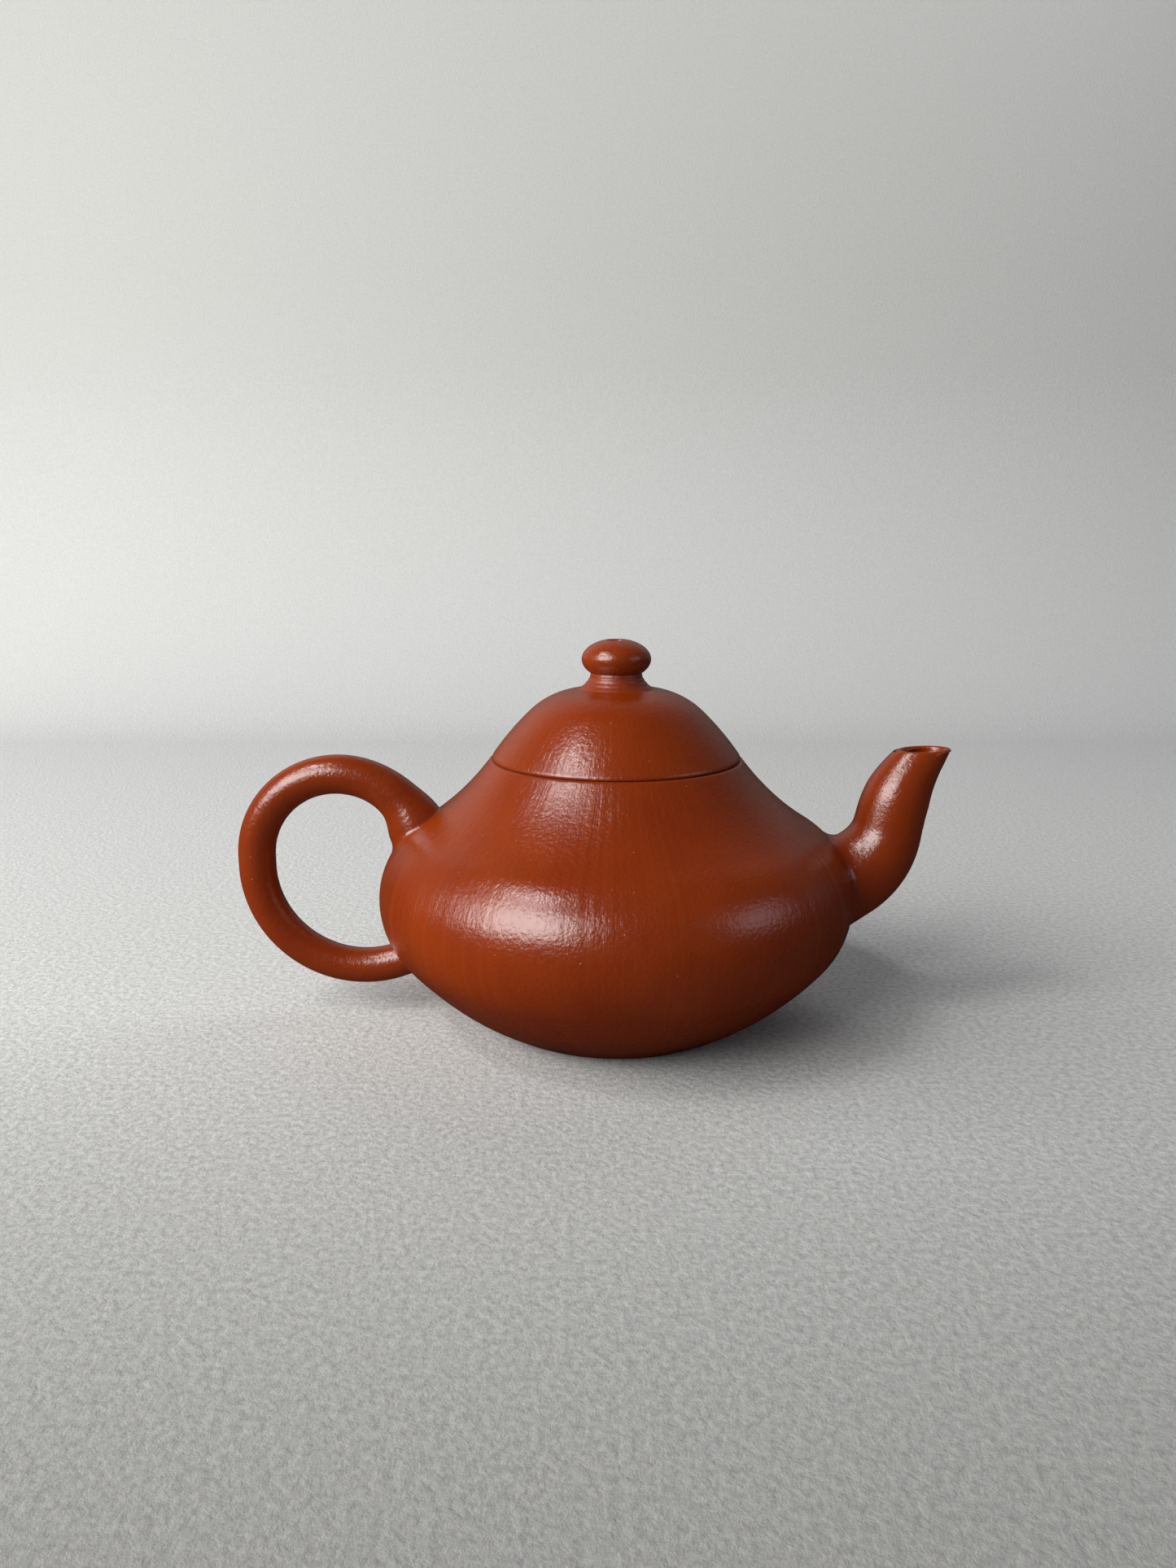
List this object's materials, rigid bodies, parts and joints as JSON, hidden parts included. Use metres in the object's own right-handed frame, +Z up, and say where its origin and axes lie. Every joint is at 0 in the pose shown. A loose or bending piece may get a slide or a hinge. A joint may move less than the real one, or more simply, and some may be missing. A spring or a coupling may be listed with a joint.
{
  "type": "clay teapot",
  "caption": "Small pear-shaped red clay teapot with a ring handle, a short curved spout, and a domed lid with a vented bead knob that lifts out of the mouth.",
  "frame": {"origin": "on the pot's axis, at the surface that the base's flat ring rests on", "axes": "+X towards the spout, the handle at -X, +Z up along the axis of the pot"},
  "size_m": [0.1152, 0.0758, 0.0612],
  "materials": {
    "burnished_clay": "unglazed red clay, burnished to a satin sheen with fine scraped lines",
    "bare_clay": "unglazed red clay, matt and slightly grainy"
  },
  "bodies": {
    "pot": {"body_wall": "burnished_clay", "base_disc": "bare_clay", "mouth_ring": "bare_clay", "spout": "burnished_clay", "strainer": "bare_clay", "handle": "burnished_clay"},
    "lid": {"lid_shell": "burnished_clay", "lid_flange": "bare_clay", "knob_neck": "burnished_clay", "knob": "burnished_clay"}
  },
  "joints": [
    {"name": "lid_lift", "type": "slide", "parent": "pot", "child": "lid", "axis": [0, 0, 1], "range_m": [0, 0.05]}
  ]
}
